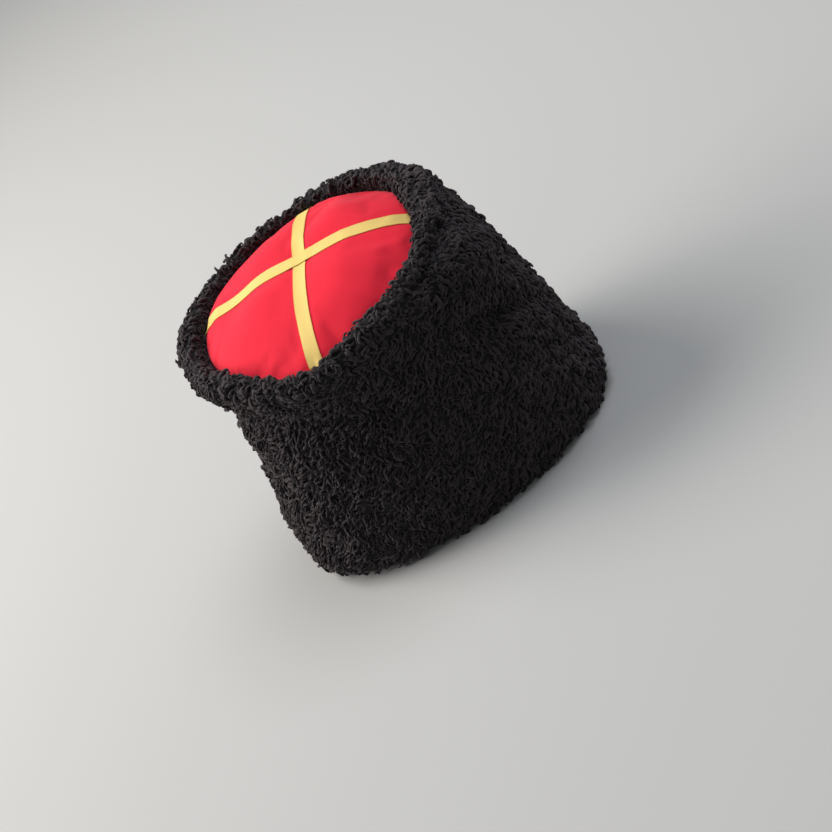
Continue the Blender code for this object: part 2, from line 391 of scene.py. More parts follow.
def wool_finish():
    """Dyed curly wool: a tone from each lock, tips painted browner as a glint, hair ridges along the lock."""
    material, tree, shader = new_finish("dyed black curly wool", roughness=0.92, specular=0.14)
    add_sheen(shader, weight=0.32, roughness=0.7, tint=WOOL_SHEEN)
    lock = add_node(tree, "ShaderNodeUVMap", uv_map="lock").outputs["UV"]
    along = add_node(tree, "ShaderNodeSeparateXYZ", {"Vector": lock}).outputs["Y"]
    ramp = add_node(tree, "ShaderNodeValToRGB", {"Fac": along})
    ramp.color_ramp.elements[0].color = linear(WOOL_ROOT)
    ramp.color_ramp.elements[1].color = linear(WOOL_TIP_GLINT)
    ramp.color_ramp.elements.new(WOOL_BODY_PLACE).color = linear(WOOL_BODY)
    tone = add_node(tree, "ShaderNodeAttribute", attribute_name="tone").outputs["Fac"]
    low, high = WOOL_TONES
    shade = add_node(tree, "ShaderNodeMapRange", {"Value": tone, "To Min": low, "To Max": high})
    paint(tree, shader, mix_colours(tree, 1.0, ramp.outputs["Color"], shade.outputs["Result"], "MULTIPLY"))
    ridges = LOCK_ROUND / HAIR_RIDGE
    stretched = add_node(tree, "ShaderNodeMapping", {"Vector": lock, "Scale": (ridges, HAIR_CRIMPS, 1.0)})
    add_relief(tree, shader, noise(tree, stretched.outputs[0], scale=1.0, detail=3.0), HAIR_RELIEF)
    return material


wool = wool_finish()
print("finish:", wool.name)

# %% [markdown]
# ## Finish 2: the hide and its underwool
# Between the curls the eye looks into matted black underwool, painted darker than the curls as shade,
# since little light gets out again. The inside of the hat is the back of the hide: black suede, scraped
# and brushed, with a short nap. Both are dull, and their grain is a noise bump, coarse for wool and
# fine for suede.

# %% Hide
# both underwool colours are darker than the curls': painted shade in the gaps between them
UNDERWOOL_DARK, UNDERWOOL_LIGHT = "#121112", "#201e1f"
UNDERWOOL_TUFT = 2.2 * MM
UNDERWOOL_RELIEF = 1.2 * MM
SUEDE_DARK, SUEDE_LIGHT = "#1a1819", "#2c292a"
SUEDE_PATCH = 14 * MM
SUEDE_NAP = 0.5 * MM           # real nap is 0.1 mm, too fine to show
SUEDE_RELIEF = 0.12 * MM


def mottled(name, dark, light, patch, grain, relief, roughness, sheen):
    """A dull surface whose colour drifts over patch metres, with a grain of bump on it."""
    material, tree, shader = new_finish(name, roughness, specular=0.25)
    add_sheen(shader, sheen, roughness=0.5, tint=light)
    place = add_node(tree, "ShaderNodeTexCoord").outputs["Object"]
    patches = noise(tree, place, scale=1 / patch, detail=4.0)
    paint(tree, shader, mix_colours(tree, patches, linear(dark), linear(light)))
    add_relief(tree, shader, noise(tree, place, scale=1 / grain, detail=3.0), relief)
    return material


underwool = mottled(
    "matted black underwool", UNDERWOOL_DARK, UNDERWOOL_LIGHT,
    patch=UNDERWOOL_TUFT, grain=UNDERWOOL_TUFT, relief=UNDERWOOL_RELIEF, roughness=0.9, sheen=0.1,
)
suede = mottled(
    "brushed black suede", SUEDE_DARK, SUEDE_LIGHT,
    patch=SUEDE_PATCH, grain=SUEDE_NAP, relief=SUEDE_RELIEF, roughness=0.88, sheen=0.3,
)
print("finishes:", underwool.name, "and", suede.name)

# %% [markdown]
# ## Finish 3: red plain-weave cloth
# The crown is dyed cotton in a plain weave: one thread over, one under. Cotton is matt, with a soft
# bloom at grazing angles, and the dye is a little uneven. Where the weave dips, the red is painted
# deeper, a painted shade. Its threads lie 0.35 mm apart, finer than a pixel, so the weave is drawn
# at 0.7 mm. It follows the flat cut of the cloth, through a UV map that holds each point's place on
# the cutting table.

# %% Red cloth
# the deeper red serves both the uneven dye and the painted shade in the weave's hollows
CLOTH_RED, CLOTH_RED_DEEP_DYE_AND_SHADE = "#e2273b", "#bf152a"
CLOTH_BLOOM = "#ff9aa4"
THREAD_PITCH = 0.7 * MM
THREAD_RELIEF = 0.06 * MM
DYE_PATCH = 22 * MM
WAVE_LENGTH = math.tau / 20    # of one bar of the wave texture at a scale of 1


def bars(tree, place, pitch, direction, wander=0.0):
    """Soft parallel bars, pitch metres apart."""
    return add_node(
        tree, "ShaderNodeTexWave", {"Vector": place, "Scale": WAVE_LENGTH / pitch, "Distortion": wander},
        wave_type="BANDS", bands_direction=direction, wave_profile="SIN",
    ).outputs["Fac"]


def weave_height(tree, place, pitch):
    """A plain weave, simply drawn: two crossed sets of soft bars, high where two of them cross."""
    crossed = []
    for turn in (0.0, math.pi / 2):
        turned = add_node(tree, "ShaderNodeMapping", {"Vector": place, "Rotation": (0, 0, turn)})
        crossed.append(bars(tree, turned.outputs[0], pitch, "X"))
    return maths(tree, "MULTIPLY", *crossed)


def cloth_finish():
    """Dyed cotton: uneven red, a weave that shows as fine tooth and holds painted shade, a soft bloom."""
    material, tree, shader = new_finish("red plain-weave cotton", roughness=0.82, specular=0.16)
    add_sheen(shader, weight=0.3, roughness=0.35, tint=CLOTH_BLOOM)
    cut = add_node(tree, "ShaderNodeUVMap", uv_map="cut").outputs["UV"]
    dye = noise(tree, cut, scale=1 / DYE_PATCH, detail=5.0)
    weave = weave_height(tree, cut, THREAD_PITCH)
    # uneven dye, plus painted shade: the red turns deeper where the weave dips
    shade = maths(tree, "ADD", dye, weave)
    paint(tree, shader, mix_colours(tree, shade, linear(CLOTH_RED_DEEP_DYE_AND_SHADE), linear(CLOTH_RED)))
    add_relief(tree, shader, weave, THREAD_RELIEF)
    return material


red_cloth = cloth_finish()
print("finish:", red_cloth.name)

# %% [markdown]
# ## Finish 4: yellow ribbed tape
# The tape is woven rayon with a rib across it at each pass of the shuttle. Rayon is smoother than
# cotton, so it has a soft satin light. The ribs are 0.4 mm apart and are drawn at 0.8 mm, so that they
# just show, and the woven edge on either side is a little deeper in colour. In the grooves between
# the ribs the yellow is painted deeper as well, a painted shade.

# %% Yellow tape
TAPE_WIDTH = 9.5 * MM
# the deeper yellow serves the woven edges and the painted shade between ribs
TAPE_YELLOW, TAPE_YELLOW_DEEP_AND_SHADE = "#e2c570", "#c8a64e"
TAPE_BLOOM = "#f4e3a8"
TAPE_SELVAGE = 0.9 * MM
SELVAGE_TONE = 0.35            # share of the lighter yellow left at the very edge
RIB_PITCH = 0.8 * MM
RIB_RELIEF = 0.10 * MM
RIB_WANDER = 0.6
# the grooves between ribs keep this share of the lighter yellow: painted shade
RIB_GROOVE_SHADE = 0.55                # share of the lighter yellow between two ribs


def tape_finish():
    """Ribbed rayon tape: ribs across it, painted shade between ribs, deeper colour along both edges."""
    material, tree, shader = new_finish("yellow ribbed rayon tape", roughness=0.55, specular=0.4)
    add_sheen(shader, weight=0.2, roughness=0.35, tint=TAPE_BLOOM)
    tape = add_node(tree, "ShaderNodeUVMap", uv_map="tape").outputs["UV"]
    across = add_node(tree, "ShaderNodeSeparateXYZ", {"Vector": tape}).outputs["X"]
    ribs = bars(tree, tape, RIB_PITCH, "Y", RIB_WANDER)
    body = add_node(tree, "ShaderNodeMapRange", {
        "Value": maths(tree, "ABSOLUTE", across),
        "From Min": TAPE_WIDTH / 2 - TAPE_SELVAGE, "From Max": TAPE_WIDTH / 2,
        "To Min": 1.0, "To Max": SELVAGE_TONE,
    })
    # painted shade: the yellow is deeper in the grooves between the ribs
    light = add_node(tree, "ShaderNodeMapRange", {"Value": ribs, "To Min": RIB_GROOVE_SHADE, "To Max": 1.0})
    share = maths(tree, "MULTIPLY", body.outputs[0], light.outputs[0])
    paint(tree, shader, mix_colours(tree, share, linear(TAPE_YELLOW_DEEP_AND_SHADE), linear(TAPE_YELLOW)))
    add_relief(tree, shader, ribs, RIB_RELIEF)
    return material


yellow_tape = tape_finish()
print("finish:", yellow_tape.name)

# %% [markdown]
# ## Where the soft wall swells and folds
# A hat of soft hide is never quite even: it puffs out at the temple, folds below that, is flatter at
# the back and full at the nape. Sculpting would do, but a table of swellings can be read and
# changed later. Each is a soft bell, placed by its bearing round the hat and its share of the rim's
# height, that moves the hide outwards or up. A second table opens or closes the lip over the crown.

# %% Swellings
RIM_HEIGHT = 171.5 * MM              # middle of the rim's crest above the hem
RIM_PITCH = math.radians(4.3)        # the front of the rim stands higher
RIM_LEAN = math.radians(5.0)         # the wearer's left of the rim stands higher
# Bearings are degrees from the front towards the wearer's left. share: height, as a share of the rim's;
# half_angle, half_share: spread; out, up: movement in mm; slant: change of share for each degree
Swelling = namedtuple("Swelling", "bearing share half_angle half_share out up slant", defaults=(0.0,))
SWELLINGS = (
    Swelling(-39, 0.81, 15, 0.10, 9.2, 0.0),       # a puff at the right temple,
    Swelling(-46, 0.63, 15, 0.04, -6.8, 0.0, -0.0067),    # with a slanting fold under it
    Swelling(-43, 0.943, 19, 0.03, -8.0, 0.0),     # and a crease between it and the rim
    Swelling(0, 0.76, 24, 0.13, 4.6, 0.0),         # the brow
    Swelling(0, 0.32, 26, 0.12, -1.4, 0.0),
    Swelling(5, 1.0, 14, 0.10, 1.4, 0.4),
    Swelling(25, 1.0, 16, 0.10, 0.0, -1.6),
    Swelling(75, 1.0, 22, 0.10, 0.0, -2.2),
    Swelling(112, 1.0, 18, 0.10, 0.4, 1.2),
    Swelling(147, 0.98, 16, 0.08, 2.8, 2.2),
    Swelling(180, 0.92, 28, 0.07, -2.6, 0.0),
    Swelling(180, 0.66, 30, 0.12, 2.2, 0.0),
    Swelling(180, 0.17, 42, 0.22, 4.2, 0.0),       # the nape
    Swelling(-122, 0.735, 32, 0.035, -2.4, 0.0),   # the crease under the roll at the back
    Swelling(-134, 0.0, 26, 0.14, -4.0, 3.0),      # the hem stands a little off the floor here
    Swelling(-119, 1.0, 14, 0.10, 0.0, -4.0),
    Swelling(-163, 1.0, 18, 0.10, 0.0, 6.4),
    Swelling(-34, 1.0, 16, 0.10, 0.0, 1.4),
)
# How far the lip opens up beyond the frame's seam, and the cloth with it. out: movement in mm
SeamSlack = namedtuple("SeamSlack", "bearing half_angle out")
SEAM_SLACKS = (
    SeamSlack(148, 23, 4.4),
    SeamSlack(-12, 26, -4.8),
    SeamSlack(-154, 19, -3.4),
    SeamSlack(-122, 12, 2.0),
)
print(len(SWELLINGS), "swellings and", len(SEAM_SLACKS), "slacks of the lip")

# %% Bearings, swelling and slack
def rim_height_over(places):
    """Height of the tilted rim's plane over each place."""
    return RIM_HEIGHT + places[:, 0] * math.tan(RIM_PITCH) + places[:, 1] * math.tan(RIM_LEAN)


def bearings_of(places):
    """Bearing of each place from the hat's axis, in degrees."""
    return np.degrees(np.arctan2(places[:, 1], places[:, 0]))


def turn_from(bearing, bearings):
    """How far round each of the bearings lies from one bearing, from -180 to 180 degrees."""
    return (bearings - bearing + 180) % 360 - 180


def swell(places, normals):
    """Moves places by the table of swellings, out along the normals and up."""
    bearings = bearings_of(places)
    shares = places[:, 2] / rim_height_over(places)
    moved = places.copy()
    for swelling in SWELLINGS:
        turn = turn_from(swelling.bearing, bearings)
        above = shares - swelling.share - swelling.slant * turn
        reach = np.exp(-(turn / swelling.half_angle) ** 2 - (above / swelling.half_share) ** 2)
        moved += normals * (swelling.out * MM * reach)[:, None]
        moved[:, 2] += swelling.up * MM * reach
    return moved


def seam_slack(bearings):
    """How far the lip opens up at each bearing, in metres."""
    slack = np.zeros(len(bearings))
    for part in SEAM_SLACKS:
        slack += part.out * MM * np.exp(-(turn_from(part.bearing, bearings) / part.half_angle) ** 2)
    return slack


print("the lip moves by", [round(slack / MM, 1) for slack in seam_slack(np.arange(0, 360, 45))],
      "mm at every 45 degrees from the front")

# %% [markdown]
# ## The hide that carries the curls
# On the real hat the curls grow from one hide, which is bent over at the rim and turned in at the
# hem. Its main form is the frame's own band. So the band is copied, rebuilt as even quads by a voxel
# remesh, and relaxed until the coarse relief of locks is gone. Where wool grows, the hide is then sunk
# below the band's face by the depth of the pile, and swollen by the tables. Wool grows on the outside
# and over the rim as far as the crown's seam, and not inside the hat or under its hem.

# %% Band as even quads
HIDE_MERGE = 0.01 * MM
HIDE_VOXEL = 3.7 * MM


def band_as_quads():
    """A copy of the band as one welded mesh of even quads."""
    shell = bmesh.new()
    shell.from_mesh(frame["nodes"]["fleece_band"].data)
    bmesh.ops.remove_doubles(shell, verts=shell.verts, dist=HIDE_MERGE)
    mesh = bpy.data.meshes.new("fleece_hide")
    shell.to_mesh(mesh)
    shell.free()
    hide = add_object("fleece_hide", mesh)
    remesh = hide.modifiers.new("even quads", "REMESH")
    remesh.mode = "VOXEL"
    remesh.voxel_size = HIDE_VOXEL
    bake_modifiers(hide)
    return hide


hide = band_as_quads()
print("band rebuilt as", len(hide.data.polygons), "quads")

# %% Hide mesh
SEAM_SHARE = 0.945                   # height of the crown's seam, as a share of the rim's
HIDE_RELAX = 40                      # rounds of smoothing
PILE_DEPTH = 2.4 * MM
LIP_DEPTH_SHARE = 0.2                # of that depth on the lip over the crown, where locks overhang the cloth
HIDE_LIFT = 0.4 * MM                 # of the lowest points above the floor
# Each pair says where something starts and where it is full
WOOL_OUTSIDE = -0.2, 0.3             # by how far the hide faces outwards
WOOL_OVER_SEAM = -3.5 * MM, 0.5 * MM  # by height over the crown's seam
WOOL_OFF_SOLE = -0.85, -0.45         # by how far the hide faces up
SOLE_ENDS = 20 * MM, 35 * MM         # by height: the roll of the rim faces down too, but carries wool
LIP_INSIDE = -0.4, 0.4               # by how far the hide faces inwards


def outward_from_middle(places):
    """Level unit vectors from the hat's axis towards each place."""
    level = places * (1, 1, 0)
    return level / np.maximum(np.linalg.norm(level, axis=1), MM)[:, None]


def shape_hide(mesh):
    """Smooths the band's relief away, sinks and swells the hide, and returns how fully wool grows."""
    places = relax(mesh, points_of(mesh), HIDE_RELAX)
    set_points(mesh, places)
    normals = normals_of(mesh)
    facing = (normals * outward_from_middle(places)).sum(axis=1)
    height = places[:, 2]
    seam_start, seam_full = (SEAM_SHARE * rim_height_over(places) + edge for edge in WOOL_OVER_SEAM)
    grows = np.maximum(smooth_step(facing, *WOOL_OUTSIDE), smooth_step(height, seam_start, seam_full))
    grows *= np.maximum(smooth_step(normals[:, 2], *WOOL_OFF_SOLE), smooth_step(height, *SOLE_ENDS))
    on_lip = smooth_step(-facing, *LIP_INSIDE) * grows
    sink = PILE_DEPTH * grows * (1 - (1 - LIP_DEPTH_SHARE) * on_lip)
    places = swell(places - normals * sink[:, None], normals * grows[:, None])
    places += outward_from_middle(places) * (seam_slack(bearings_of(places)) * on_lip)[:, None]
    places[:, 2] = np.maximum(places[:, 2], HIDE_LIFT)
    set_points(mesh, places)
    mesh.shade_smooth()
    return grows


grows = shape_hide(hide.data)
print("hide:", triangles_in(hide.data), "triangles, wool on", round(100 * grows.mean()), "% of its points")

# %% [markdown]
# ## Which way the wool lies
# Wool is combed by wear: on the wall it lies downwards and sweeps back round the wearer's right side,
# with swirls. Over the rim's crest it parts, outwards and inwards over the red cloth. These
# directions and the size of the locks are stored on the hide as attributes, which the planting of
# curls reads. Painting them by hand would do as well, but a rule is even all round.

# %% Comb
SWEEP = 0.75                         # of the comb round the hat, against its way down
CREST_FACES_UP = 0.1, 0.8            # how far the hide faces up where the crest starts and is full
Drift = namedtuple("Drift", "amount size seed")
SWIRL = Drift(math.radians(24), 30 * MM, 3.0)
RUFFLE = Drift(math.radians(22), 9 * MM, 8.0)
LOCKS_VARY = Drift(0.22, 30 * MM, 5.0)
RIM_SHARE = 0.885                    # above this share of the height a curl belongs to the rim
RIM_STARTS, RIM_FULL = -0.06, 0.05   # where the size changes to the rim's, from that share
RIM_LOCKS = 1.08                     # size of the rim's locks against the wall's
LIP_FACES_IN = 0.1, 0.7              # how far the hide faces inwards where the lip starts and is full
LIP_LOCKS = 0.7                      # size of the locks that hang over the cloth, against the rim's


def comb_of(places, normals, outward):
    """Unit vectors along the hide in which the wool lies."""
    side = np.sign((normals * outward).sum(axis=1))[:, None]
    crest = smooth_step(normals[:, 2], *CREST_FACES_UP)[:, None]
    round_the_hat = np.cross(outward, (0, 0, 1))
    comb = (1 - crest) * ((0, 0, -1) + SWEEP * round_the_hat) + crest * outward * side
    comb -= normals * (comb * normals).sum(axis=1)[:, None]
    comb /= np.maximum(np.linalg.norm(comb, axis=1), TINY)[:, None]
    turn = np.zeros(len(places))
    for angle, size, seed in (SWIRL, RUFFLE):
        turn += angle * NOISE_GAIN * drift(places, size, seed)[:, 0]
    turn = turn[:, None]
    return comb * np.cos(turn) + np.cross(normals, comb) * np.sin(turn)


def lock_sizes(places, normals, outward):
    """Size of the locks at each place, around 1."""
    share = places[:, 2] / rim_height_over(places)
    locks = 1 + LOCKS_VARY.amount * drift(places, LOCKS_VARY.size, LOCKS_VARY.seed)[:, 0]
    locks *= 1 + (RIM_LOCKS - 1) * smooth_step(share, RIM_SHARE + RIM_STARTS, RIM_SHARE + RIM_FULL)
    locks *= 1 + (LIP_LOCKS - 1) * smooth_step(-(normals * outward).sum(axis=1), *LIP_FACES_IN)
    return locks


def comb_hide(mesh, grows):
    """Stores comb, lock size and pile on the points of the hide."""
    places, normals = points_of(mesh), normals_of(mesh)
    outward = outward_from_middle(places)
    comb = comb_of(places, normals, outward)
    locks = lock_sizes(places, normals, outward)
    for name, values in (("comb", comb), ("locks", locks), ("grows", grows)):
        kind, field = ("FLOAT_VECTOR", "vector") if values.ndim == 2 else ("FLOAT", "value")
        attribute = mesh.attributes.new(name, kind, "POINT")
        attribute.data.foreach_set(field, values.astype(np.float32).ravel())
    return locks


locks = comb_hide(hide.data, grows)
print("lock sizes from", round(locks.min(), 2), "to", round(locks.max(), 2))

# %% [markdown]
# ## Parts and finishes of the hide
# A million triangles of curls are too many for one mesh, so the rim and the four quarters of the wall
# become pieces of their own. Each face of the hide stores the number of its part. Faces under wool
# take the underwool and the rest the suede.

# %% Parts and finishes of the hide
PARTS = ("curls_rim", "curls_front", "curls_left", "curls_back", "curls_right")
QUARTER = 90                         # degrees
BARE_BELOW = 2                       # wool at a face's four corners, added up


def part_hide(mesh, grows):
    """Stores the part on the faces of the hide: 0 for the rim, then the quarters from the front on."""
    middles = np.array([face.center for face in mesh.polygons])
    quarter = np.round(bearings_of(middles) / QUARTER).astype(int) % 4
    on_rim = middles[:, 2] > RIM_SHARE * rim_height_over(middles)
    part = np.where(on_rim, 0, quarter + 1)
    mesh.attributes.new("part", "INT", "FACE").data.foreach_set("value", part.astype(np.int32))
    mesh.materials.append(underwool)
    mesh.materials.append(suede)
    bare = [sum(grows[v] for v in face.vertices) < BARE_BELOW for face in mesh.polygons]
    mesh.polygons.foreach_set("material_index", np.array(bare, np.int32))
    mesh.update()
    return np.bincount(part)


faces_of_parts = part_hide(hide.data, grows)
print("faces of the hide:", dict(zip(PARTS, faces_of_parts.tolist())))

# %% [markdown]
# ## Shapes of single locks
# A lock of this fleece is a soft wavy bundle some 1.5 mm thick: it rises from the hide, bends over,
# sways from side to side and dives back with its tip. Thousands are needed, so each shape has only a
# few dozen faces: a tube of four sides whose centre line is walked in short steps, with the
# direction turned a little at each step. The table gives flat waves for the wall and hooks for the rim.

# %% Lock shapes
LOCK_STEPS = 6
LOCK_SIDES = 4
LOCK_ROOT = 1.0 * MM                 # depth of the root under the hide's face
# length in mm; rise, dive: pitch at root and tip; sway: side turn; sways: how many; thick: radius in mm
Lock = namedtuple("Lock", "name length rise dive sway sways thick")
WALL_LOCKS = (
    Lock("wave", 8.6, 54, -26, 32, 1.0, 0.78),
    Lock("double_wave", 9.6, 50, -24, 44, 1.5, 0.72),
    Lock("bow", 7.6, 58, -44, 44, 0.5, 0.86),
    Lock("hook", 8.0, 64, -84, 28, 0.8, 0.76),
    Lock("crimp", 9.2, 48, -22, 54, 1.9, 0.66),
    Lock("tuft", 6.2, 68, -30, 28, 0.6, 0.94),
)
RIM_LOCK_SHAPES = (
    Lock("loop", 9.2, 78, -165, 24, 0.5, 0.86),
    Lock("tall_hook", 8.0, 76, -118, 40, 0.7, 0.86),
    Lock("corkscrew", 10.0, 70, -80, 68, 1.6, 0.72),
    Lock("bent_bow", 8.0, 72, -66, 50, 0.5, 0.92),
    Lock("wisp", 8.4, 62, -56, 52, 1.3, 0.68),
    Lock("lump", 6.6, 70, -100, 36, 0.5, 1.02),
)
LOCK_BEND = 0.8                      # below 1, a lock bends over nearer to its root


def walk_lock(lock, phase):
    """Centre line of a lock and its directions, from the root, with X along the comb and Z outwards."""
    place = Vector((0, 0, -LOCK_ROOT))
    step = lock.length * MM / LOCK_STEPS
    line = []
    for index in range(LOCK_STEPS + 1):
        part = index / LOCK_STEPS
        pitch = math.radians(lock.rise + (lock.dive - lock.rise) * part ** LOCK_BEND)
        yaw = math.radians(lock.sway) * math.sin(math.tau * lock.sways * part + phase)
        heading = Vector((math.cos(yaw) * math.cos(pitch), math.sin(yaw), math.cos(yaw) * math.sin(pitch)))
        line.append((place.copy(), heading))
        place += heading * step
    return line


for lock in (WALL_LOCKS[0], RIM_LOCK_SHAPES[0]):
    tip, _ = walk_lock(lock, phase=0)[-1]
    print("the tip of a", lock.name, "lies at", [round(x / MM, 1) for x in tip], "mm from its root")

# %% [markdown]
# ## From a line to a lock
# Around each step of the line goes a ring of four points, wide and flat like a bundle of hair, and
# twisted a little further than the one before. Faces between the rings and a cap at both ends close
# the tube. Its UV map runs round it and along it, for the ridges of hair.

# %% Rings of a lock
LOCK_FLATTEN = 1.22, 0.80            # width and thickness of a lock against its radius
LOCK_UPRIGHT = 0.3                   # a heading with less than this sideways takes +Y as its side


def ring_round(place, heading, radius, twisted):
    """Places of one flat ring of a lock."""
    aside = Vector((0, 0, 1)).cross(heading)
    if aside.length < LOCK_UPRIGHT:
        aside = Vector((0, 1, 0))
    aside = (aside - heading * aside.dot(heading)).normalized()
    above = heading.cross(aside)
    wide, high = LOCK_FLATTEN
    ring = []
    for side in range(LOCK_SIDES):
        angle = math.tau * side / LOCK_SIDES
        across = wide * math.cos(angle) * math.cos(twisted) - high * math.sin(angle) * math.sin(twisted)
        through = wide * math.cos(angle) * math.sin(twisted) + high * math.sin(angle) * math.cos(twisted)
        ring.append(place + (aside * across + above * through) * radius)
    return ring


level_ring = ring_round(Vector((0, 0, 0)), Vector((1, 0, 0)), radius=MM, twisted=0)
print("a ring of 1 mm:", [[round(x / MM, 2) for x in spot] for spot in level_ring])

# %% Locks
LOCK_BELLY = (0.62, 0.46)            # share of the radius at the root, and what the middle adds
LOCK_TIP = 0.35                      # share of the radius left at the tip
LOCK_TWIST = math.radians(100)       # from root to tip
LOCK_PHASES = 0.4, 0.4 + math.pi     # the same shape swaying to either side


def make_lock(lock, phase):
    """A closed tube round the centre line, fullest near the middle, with a UV map round and along it."""
    tube = bmesh.new()
    lock_uv = tube.loops.layers.uv.new("lock")
    root, belly = LOCK_BELLY
    rings = []
    for index, (place, heading) in enumerate(walk_lock(lock, phase)):
        part = index / LOCK_STEPS
        radius = lock.thick * MM * (root + belly * math.sin(math.pi * part))
        if index == LOCK_STEPS:
            radius *= LOCK_TIP
        rings.append([tube.verts.new(spot) for spot in ring_round(place, heading, radius, part * LOCK_TWIST)])
    for index, (lower, upper) in enumerate(zip(rings, rings[1:])):
        for side in range(LOCK_SIDES):
            after = (side + 1) % LOCK_SIDES
            face = tube.faces.new((lower[side], lower[after], upper[after], upper[side]))
            spots = ((side, index), (side + 1, index), (side + 1, index + 1), (side, index + 1))
            for loop, (round_it, along) in zip(face.loops, spots):
                loop[lock_uv].uv = (round_it / LOCK_SIDES, along / LOCK_STEPS)
    for ring, along in ((rings[0][::-1], 0.0), (rings[-1], 1.0)):
        cap = tube.faces.new(ring)
        for loop in cap.loops:
            loop[lock_uv].uv = (0.5, along)
    bmesh.ops.recalc_face_normals(tube, faces=tube.faces)
    mesh = bpy.data.meshes.new("lock_" + lock.name)
    tube.to_mesh(mesh)
    tube.free()
    mesh.materials.append(wool)
    mesh.shade_smooth()
    return mesh


def lock_collection(name, locks):
    """A collection of the shapes, each in two phases, kept out of the scene."""
    group = bpy.data.collections.new(name)
    for lock in locks:
        for phase in LOCK_PHASES:
            shape = bpy.data.objects.new(f"{lock.name}_{phase:.0f}", make_lock(lock, phase))
            group.objects.link(shape)
    return group


wall_shapes = lock_collection("wall locks", WALL_LOCKS)
rim_shapes = lock_collection("rim locks", RIM_LOCK_SHAPES)
print("shapes:", len(wall_shapes.objects), "and", len(rim_shapes.objects), "of",
      triangles_in(wall_shapes.objects[0].data), "triangles each")

# %% [markdown]
# ## Planting the locks
# Locks could be grown as hair, but hair has no mesh to print or to bake. So Geometry Nodes plant
# them: points are scattered on the hide at an even spacing, and each takes a random shape, with its
# Z along the hide's normal and its X along the comb. Wool hangs together in tufts, so size, turn and
# lean come mostly from a soft noise that neighbours share. First come the small helpers of the tree.

# %% Helpers for the planting tree
NOISE_SPAN = 0.3, 0.7                # the noise seldom leaves it
STRAY_DRAW, SIZE_DRAW, SHAPE_DRAW, TONE_DRAW = 1, 3, 4, 5    # added to the seed, so that each differs
UP, SIDE = (0, 0, 1), (0, 1, 0)      # axes of a lock


def stored(tree, name, kind):
    """What the hide stores under a name."""
    return add_node(tree, "GeometryNodeInputNamedAttribute", {"Name": name}, data_type=kind).outputs[0]


def chance(tree, seed, draw, low, high):
    """A number for each lock, by chance."""
    inputs = {2: low, 3: high, "Seed": maths(tree, "ADD", seed, draw)}
    return add_node(tree, "FunctionNodeRandomValue", inputs, data_type="FLOAT").outputs[1]


def shared(tree, tuft, low, high):
    """A number that neighbours share, from one channel of the noise of tufts."""
    start, end = NOISE_SPAN
    return add_node(tree, "ShaderNodeMapRange", {
        "Value": tuft, "From Min": start, "From Max": end, "To Min": low, "To Max": high,
    }).outputs[0]


def shared_angle(tree, tuft, most):
    """An angle that neighbours share, up to most to either side."""
    return shared(tree, tuft, maths(tree, "MULTIPLY", most, -1.0), most)


def spun(tree, rotation, axis, angle):
    """A rotation turned further, about one of its own axes."""
    turn = add_node(tree, "FunctionNodeAxisAngleToRotation", {"Axis": axis, "Angle": angle}).outputs[0]
    inputs = {0: rotation, 1: turn}
    return add_node(tree, "FunctionNodeRotateRotation", inputs, rotation_space="LOCAL").outputs[0]


print("draws by chance: stray", STRAY_DRAW, "size", SIZE_DRAW, "shape", SHAPE_DRAW, "tone", TONE_DRAW)

# %% [markdown]
# ## The planting tree
# Its named inputs hold every size, so one tree serves all parts. The instances are realised into one
# mesh, because only plain meshes leave Blender whole, and what would go through the floor is pressed
# flat against it.

# %% Inputs of the tree
PLANTING_INPUTS = (
    ("Hide", "NodeSocketGeometry"),
    ("Shapes", "NodeSocketCollection"),
    ("Shape Count", "NodeSocketInt"),
    ("Part", "NodeSocketInt"),
    ("Spacing", "NodeSocketFloat"),
    ("Most Per Square Metre", "NodeSocketFloat"),
    ("Turn", "NodeSocketFloat"),
    ("Lean", "NodeSocketFloat"),
    ("Smallest", "NodeSocketFloat"),
    ("Largest", "NodeSocketFloat"),
    ("Tufts Per Metre", "NodeSocketFloat"),
    ("Floor", "NodeSocketFloat"),
    ("Seed", "NodeSocketInt"),
    ("Wool", "NodeSocketMaterial"),
)
print(len(PLANTING_INPUTS), "inputs, from", PLANTING_INPUTS[0][0], "to", PLANTING_INPUTS[-1][0])

# %% Scattering and tufts
TUFT_SIZES = 0.7, 1.4                # shortest and longest tufts
LARGEST_LOCK = 1.28
LOCK_STRAY = math.radians(16)        # turn of each lock away from its tuft


def scattered(tree, given):
    """Points of one part at an even spacing, and a rotation at each: Z outwards, X along the comb."""
    scatter = add_node(tree, "GeometryNodeDistributePointsOnFaces", {
        "Mesh": given["Hide"], "Distance Min": given["Spacing"],
        "Density Max": given["Most Per Square Metre"], "Density Factor": stored(tree, "grows", "FLOAT"),
        "Seed": given["Seed"],
    }, distribute_method="POISSON").outputs
    elsewhere = add_node(
        tree, "FunctionNodeCompare", {2: stored(tree, "part", "INT"), 3: given["Part"]},
        data_type="INT", operation="NOT_EQUAL",
    ).outputs[0]
    points = add_node(
        tree, "GeometryNodeDeleteGeometry", {0: scatter["Points"], 1: elsewhere}, domain="POINT",
    ).outputs[0]
    facing = add_node(
        tree, "FunctionNodeAxesToRotation", {0: scatter["Normal"], 1: stored(tree, "comb", "FLOAT_VECTOR")},
        primary_axis="Z", secondary_axis="X",
    ).outputs[0]
    return points, facing


